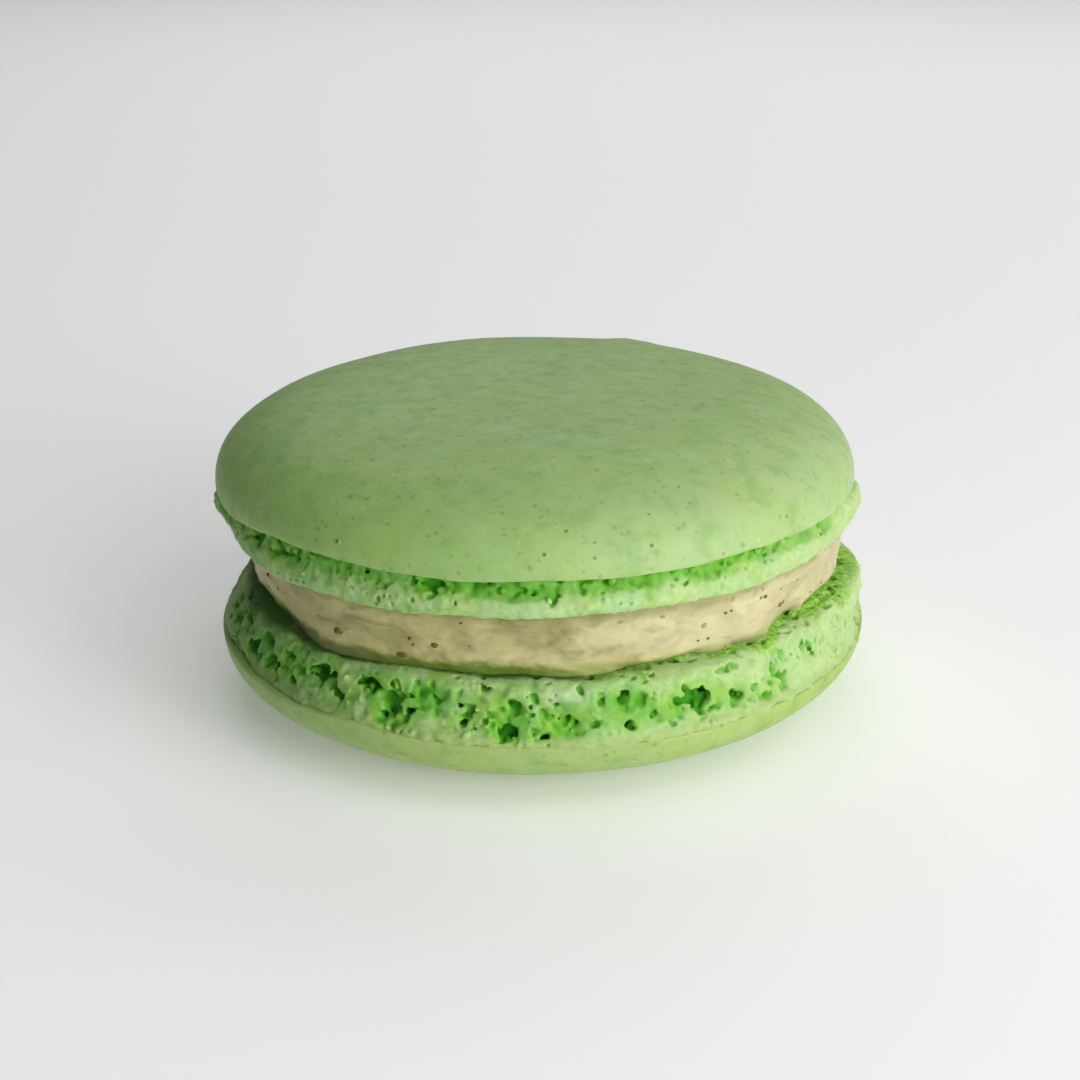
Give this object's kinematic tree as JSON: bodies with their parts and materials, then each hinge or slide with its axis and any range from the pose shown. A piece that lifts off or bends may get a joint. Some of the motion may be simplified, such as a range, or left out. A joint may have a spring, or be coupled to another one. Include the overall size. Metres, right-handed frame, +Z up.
{
  "type": "french macaron",
  "caption": "Round sandwich biscuit: a pistachio-green almond meringue shell above and below, each with a smooth dome and a porous ruffled foot, joined by beige cream.",
  "frame": {"origin": "on the table, at the middle of the flat spot that the lower shell stands on", "axes": "+Z up through the middle of both shells; -Y is the side facing the viewer, +X to the right"},
  "size_m": [0.0461, 0.0459, 0.0214],
  "materials": {
    "shell_top": "matte baked almond meringue, pale yellow-green",
    "filling": "soft beige cream with a faint sheen and a few dark specks",
    "shell_bottom": "matte baked almond meringue, pale yellow-green"
  },
  "bodies": {
    "root": {"shell_top": "shell_top", "filling": "filling", "shell_bottom": "shell_bottom"}
  },
  "joints": []
}
